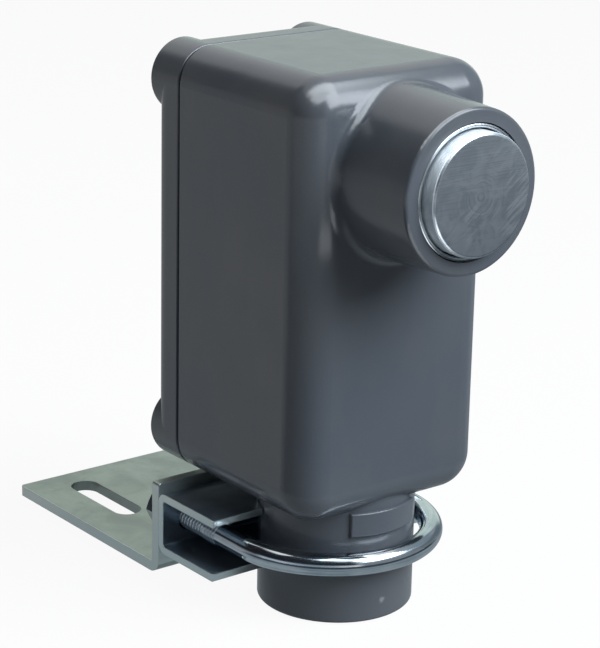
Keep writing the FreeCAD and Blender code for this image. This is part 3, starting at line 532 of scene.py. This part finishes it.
probe = {
    "bright": tint(206, 212, 217),
    "dark": tint(172, 180, 186),
    "scuff": tint(236, 240, 242),
    "faceRange": (0.5 * mm, 0.3 * mm),  # how far back the face's own marks reach
    "lines": (1.0, 3.0, 0.5),
    "lineTurn": (0.0, math.radians(4), 0.0),
    "lineStretch": (70, 1, 3600),
    "swirl": (-0.5 * mm, 0.0, -0.3 * mm),  # middle of the facing marks: across, back and up
    "swirlRange": (10.5 * mm, 1.5 * mm),
    "wander": (190.0, 2.0),
    "wobble": 1.6 * mm,
    "rings": (1.0, 2.0),
    "ringStretch": (1500, 0, 0),
    "ringContrast": 1.8,
    "patches": (110.0, 1.0),  # where the rings show
    "patchRange": (0.36, 0.56),
    "turned": (1.0, 3.0),
    "turnedStretch": (2600, 0, 0),
    "cloud": (160.0, 4.0, 0.6, 0.8),
    "calmRange": (4.0 * mm, -6.0 * mm),  # the lines fade out down the face
    "calmShare": 0.6,
    "patternShare": 0.45,
    "toneRange": (0.38, 0.62),
    "scratches": (1.0, 2.0),
    "scratchTurn": (0.0, math.radians(38), 0.0),
    "scratchStretch": (90, 1, 1500),
    "scratchRange": (0.44, 0.62),
    "wear": (95.0, 3.0),
    "wearSide": (1.0 * mm, 12.0 * mm),  # more wear towards the right
    "wearSideShare": 0.14,
    "wearRange": (0.54, 0.70),
    "wearShare": 0.55,
    "faceRoughness": 0.30,
    "sideRoughness": 0.56,
    "cloudRoughness": 0.12,
    "faceCut": 0.15,  # share of the marks' height on the face
    "sideCut": 4.0,  # and on the turned side
    "markHeight": 0.06 * mm,
    "edgeRadius": 0.45 * mm,
}


def machinedSteel():
    low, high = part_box("sensor_probe")
    middle = (low + high) / 2
    material, place = newFinish("machinedSteel")
    centred = moved(place, shift=(-middle.x, -low.y, -middle.z))
    across, depth, upward = axes(centred)
    face = smooth(depth, *probe["faceRange"])
    cloud = grain(centred, *probe["cloud"])
    # straight lines, fading into the cloud, with rings of the facing cut over them
    lines = grain(moved(centred, turn=probe["lineTurn"], scale=probe["lineStretch"]), *probe["lines"])
    calm = smooth(upward, *probe["calmRange"]) * probe["calmShare"]
    fromSwirl = away(centred, probe["swirl"])
    wander = fromSwirl + swing(grain(centred, *probe["wander"]), probe["wobble"])
    rings = grain(moved(wander, scale=probe["ringStretch"]), *probe["rings"])
    rings = swing(rings, probe["ringContrast"]) + noiseMiddle
    patches = smooth(grain(centred, *probe["patches"]), *probe["patchRange"])
    ringMask = smooth(fromSwirl, *probe["swirlRange"]) * patches
    onFace = mixed(mixed(lines, cloud, calm), rings, ringMask)
    turned = grain(moved(depth, scale=probe["turnedStretch"]), *probe["turned"])
    relief = onFace * face * probe["faceCut"] + turned * (1 - face) * probe["sideCut"]
    pattern = mixed(turned, onFace, face)
    tone = smooth(mixed(cloud, pattern, probe["patternShare"]), *probe["toneRange"])
    colour = blend(tone, probe["bright"], probe["dark"])
    slanted = moved(centred, turn=probe["scratchTurn"])
    scratches = grain(moved(slanted, scale=probe["scratchStretch"]), *probe["scratches"])
    worn = grain(centred, *probe["wear"]) + smooth(across, *probe["wearSide"]) * probe["wearSideShare"]
    rubbed = smooth(worn, *probe["wearRange"]) * smooth(scratches, *probe["scratchRange"]) * face
    colour = blend(rubbed * probe["wearShare"], colour, probe["scuff"])
    roughness = probe["sideRoughness"] - face * (probe["sideRoughness"] - probe["faceRoughness"])
    roughness = roughness + swing(cloud, probe["cloudRoughness"])
    normal = bump(relief, probe["markHeight"], edgeNormal(place, probe["edgeRadius"]))
    return close(material, place, colour=colour, roughness=roughness, metallic=1.0, normal=normal)


# Plain materials of the sealed pieces

plain = {  # main tone, second tone, grain scale, roughness, metallic
    "blackRubber": (tint(26, 26, 27), tint(38, 38, 39), 900.0, 0.75, 0.0),
    "naturalPlastic": (tint(226, 220, 200), tint(210, 202, 178), 300.0, 0.45, 0.0),
    "windingWire": (tint(168, 84, 40), tint(120, 54, 26), 400.0, 0.35, 0.6),
    "darkFerrite": (tint(52, 52, 54), tint(70, 70, 72), 1200.0, 0.55, 0.0),
    "boardLaminate": (tint(38, 92, 58), tint(28, 72, 46), 700.0, 0.40, 0.0),
    "coreSteel": (tint(110, 112, 116), tint(72, 74, 78), 500.0, 0.45, 0.7),
    "blackCase": (tint(30, 31, 33), tint(44, 45, 47), 1500.0, 0.50, 0.0),
    "greenCase": (tint(46, 124, 78), tint(36, 104, 64), 800.0, 0.45, 0.0),
}
plainSkin = {  # what all of them share
    "speckle": (3.0, 0.6),  # detail and roughness
    "layers": (60.0, 2.0),
    "layerStretch": (1, 30, 1),
    "layerShare": 0.4,
    "toneRange": (0.35, 0.65),
    "speckleRoughness": 0.2,
    "speckleHeight": 0.02 * mm,
}


def sealedFinish(name):
    first, second, scale, rough, metal = plain[name]
    material, place = newFinish(name)
    speckle = grain(place, scale, *plainSkin["speckle"])
    layers = grain(moved(place, scale=plainSkin["layerStretch"]), *plainSkin["layers"])
    tone = smooth(mixed(speckle, layers, plainSkin["layerShare"]), *plainSkin["toneRange"])
    return close(material, place, colour=blend(tone, first, second),
                 roughness=rough + swing(speckle, plainSkin["speckleRoughness"]), metallic=metal,
                 normal=bump(speckle, plainSkin["speckleHeight"]))


finishOf = {
    "mouldedGrey": ("housing", "rear_cover"),
    "machinedSteel": ("sensor_probe",),
    "drawnRod": ("u_bolt",),
    "brightZinc": ("clamp_nuts", "lock_washers"),
    "blueZinc": ("clamp_saddle",),
    "paleZinc": ("angle_bracket",),
    "plainSteel": ("cover_screws", "board_screws", "terminal_screws", "lead_pins"),
    "sleeveSteel": ("probe_sleeve", "probe_lock_nut"),
    "yellowBrass": ("thread_inserts",),
    "blackRubber": ("cover_gasket", "probe_seal_ring"),
    "naturalPlastic": ("coil_bobbin",),
    "windingWire": ("coil_winding", "transformer_winding"),
    "darkFerrite": ("bias_magnet",),
    "boardLaminate": ("circuit_board",),
    "coreSteel": ("transformer_core",),
    "blackCase": ("output_relay", "signal_chip", "filter_capacitor"),
    "greenCase": ("terminal_block",),
}
finishes = {"mouldedGrey": mouldedGrey(), "machinedSteel": machinedSteel(), "drawnRod": drawnRod()}
finishes.update({name: plated(name) for name in platings})
finishes.update({name: sealedFinish(name) for name in plain})
for finishName, nodeNames in finishOf.items():
    for nodeName in nodeNames:
        slots = nodes[nodeName].data.materials
        for number in range(len(slots)):
            slots[number] = finishes[finishName]
dressed = {nodeName for nodeNames in finishOf.values() for nodeName in nodeNames}
print("finishes set, still plain:", sorted(set(nodes) - dressed))


# Threads on the legs of the U-bolt

threads = {
    "pitch": 1.27 * mm,
    "root": 2.70 * mm,
    "crest": 3.14 * mm,
    "rootWidth": 1.08 * mm,
    "crestWidth": 0.18 * mm,
    "length": 25.3 * mm,
    "lead": 0.7 * mm,  # bare end of each leg
    "shankRoot": 3.12 * mm,  # of the part rolled on the full rod
    "shankCrest": 3.42 * mm,
    "shankLength": 5.6 * mm,
    "steps": 32,  # points in one turn
    "lay": (math.radians(-90), 0.0, 0.0),  # from upright to along the legs
    "inputs": ("Pitch", "Root", "Crest", "Root Width", "Crest Width", "Across", "Height", "Start", "Length"),
}


def bakeTree(name, tree, values, body):  # a tree's result as a plain mesh riding on a body
    holder = addObject(name + "Holder", bpy.data.meshes.new(name + "Holder"))
    modifier = holder.modifiers.new(name, "NODES")
    modifier.node_group = tree
    for item in tree.interface.items_tree:
        if item.in_out == "INPUT" and item.name in values:
            modifier[item.identifier] = values[item.name]
    graph = bpy.context.evaluated_depsgraph_get()
    mesh = bpy.data.meshes.new_from_object(holder.evaluated_get(graph))
    mesh.name = name
    piece = addObject(name, mesh)
    bpy.data.objects.remove(holder)
    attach(piece, body)


def threadTree():
    tree = bpy.data.node_groups.new("threadTree", "GeometryNodeTree")
    for name in threads["inputs"]:
        tree.interface.new_socket(name=name, in_out="INPUT", socket_type="NodeSocketFloat")
    tree.interface.new_socket(name="Steps", in_out="INPUT", socket_type="NodeSocketInt")
    tree.interface.new_socket(name="Geometry", in_out="OUTPUT", socket_type="NodeSocketGeometry")
    start = Wire(tree, None)
    group = tree.nodes.new("NodeGroupInput")
    given = {socket.name: Wire(tree, socket) for socket in group.outputs if socket.name}

    def point(x, y, z):
        return start.node("ShaderNodeCombineXYZ", None, {"X": x, "Y": y, "Z": z})

    turns = given["Length"].math("DIVIDE", given["Length"], given["Pitch"])
    helix = start.node("GeometryNodeCurveSpiral", None,
                       {"Resolution": given["Steps"], "Rotations": turns, "Start Radius": given["Root"],
                        "End Radius": given["Root"], "Height": given["Length"]})
    helix = start.node("GeometryNodeSetCurveNormal", {"mode": "Z_UP"}, {"Curve": helix})
    outward = -1 * (given["Crest"] - given["Root"])  # the profile's -X points away from the leg
    wide = given["Root Width"] * half
    narrow = given["Crest Width"] * half
    profile = start.node("GeometryNodeCurvePrimitiveQuadrilateral", {"mode": "POINTS"},
                         {"Point 1": point(0.0, wide, 0.0), "Point 2": point(outward, narrow, 0.0),
                          "Point 3": point(outward, -1 * narrow, 0.0),
                          "Point 4": point(0.0, -1 * wide, 0.0)})
    ridge = start.node("GeometryNodeCurveToMesh", None,
                       {"Curve": helix, "Profile Curve": profile, "Fill Caps": True})
    laid = start.node("GeometryNodeTransform", None, {"Geometry": ridge, "Rotation": threads["lay"]})
    left = point(-1 * given["Across"], given["Start"], given["Height"])
    right = point(given["Across"], given["Start"], given["Height"])
    legs = start.node("GeometryNodeMeshLine", {"mode": "END_POINTS"},
                      {"Count": 2, "Start Location": left, "Offset": right})
    copies = start.node("GeometryNodeInstanceOnPoints", None, {"Points": legs, "Instance": laid})
    real = start.node("GeometryNodeRealizeInstances", None, {"Geometry": copies})
    painted = start.node("GeometryNodeSetMaterial", None,
                         {"Geometry": real, "Material": finishes["brightZinc"]})
    start.node("NodeGroupOutput", None, {"Geometry": painted})
    return tree


boltLow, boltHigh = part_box("u_bolt")
rodRadius = (boltHigh.z - boltLow.z) / 2
threadStart = boltHigh.y - threads["length"]
threadParts = {  # root, crest, start and length
    "leg_threads": (threads["root"], threads["crest"], threadStart, threads["length"] - threads["lead"]),
    "shank_threads": (threads["shankRoot"], threads["shankCrest"],
                      threadStart - threads["shankLength"], threads["shankLength"]),
}
helixTree = threadTree()
for threadName, (root, crest, begin, length) in threadParts.items():
    bakeTree(threadName, helixTree, {
        "Pitch": threads["pitch"], "Root": root, "Crest": crest, "Root Width": threads["rootWidth"],
        "Crest Width": threads["crestWidth"], "Across": boltHigh.x - rodRadius,
        "Height": boltLow.z + rodRadius, "Start": begin, "Length": length,
        "Steps": threads["steps"]}, "bracket")
print("threads cut")


# Rolled lip of the sleeve round the probe

lip = {
    "profile": (  # radius, and how far behind the boss's rim, in millimetres
        (16.05, 2.2), (16.05, 0.40), (16.20, 0.22), (16.60, 0.12),
        (17.00, 0.22), (17.15, 0.40), (17.15, 2.2),
    ),
    "steps": 96,
}


def turnedPiece(name, profile, steps, body, material):  # a closed profile turned round the probe
    probeLow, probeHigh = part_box("sensor_probe")
    middle = (probeLow + probeHigh) / 2
    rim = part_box("housing")[0].y  # the boss's rim is the front of the housing
    build = bmesh.new()
    rings = []
    for step in range(steps):
        angle = math.tau * step / steps
        side, rise = math.cos(angle) * mm, math.sin(angle) * mm
        rings.append([build.verts.new((middle.x + radius * side, rim + behind * mm,
                                       middle.z + radius * rise)) for radius, behind in profile])
    for first, second in zip(rings, rings[1:] + rings[:1]):
        for low in range(len(profile)):
            high = (low + 1) % len(profile)
            build.faces.new((first[low], second[low], second[high], first[high])).smooth = True
    bmesh.ops.recalc_face_normals(build, faces=build.faces)
    mesh = bpy.data.meshes.new(name)
    build.to_mesh(mesh)
    build.free()
    mesh.materials.append(material)
    piece = addObject(name, mesh)
    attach(piece, body)


turnedPiece("sleeve_lip", lip["profile"], lip["steps"], "switch",
            finishes["sleeveSteel"])
print("sleeve lip turned")
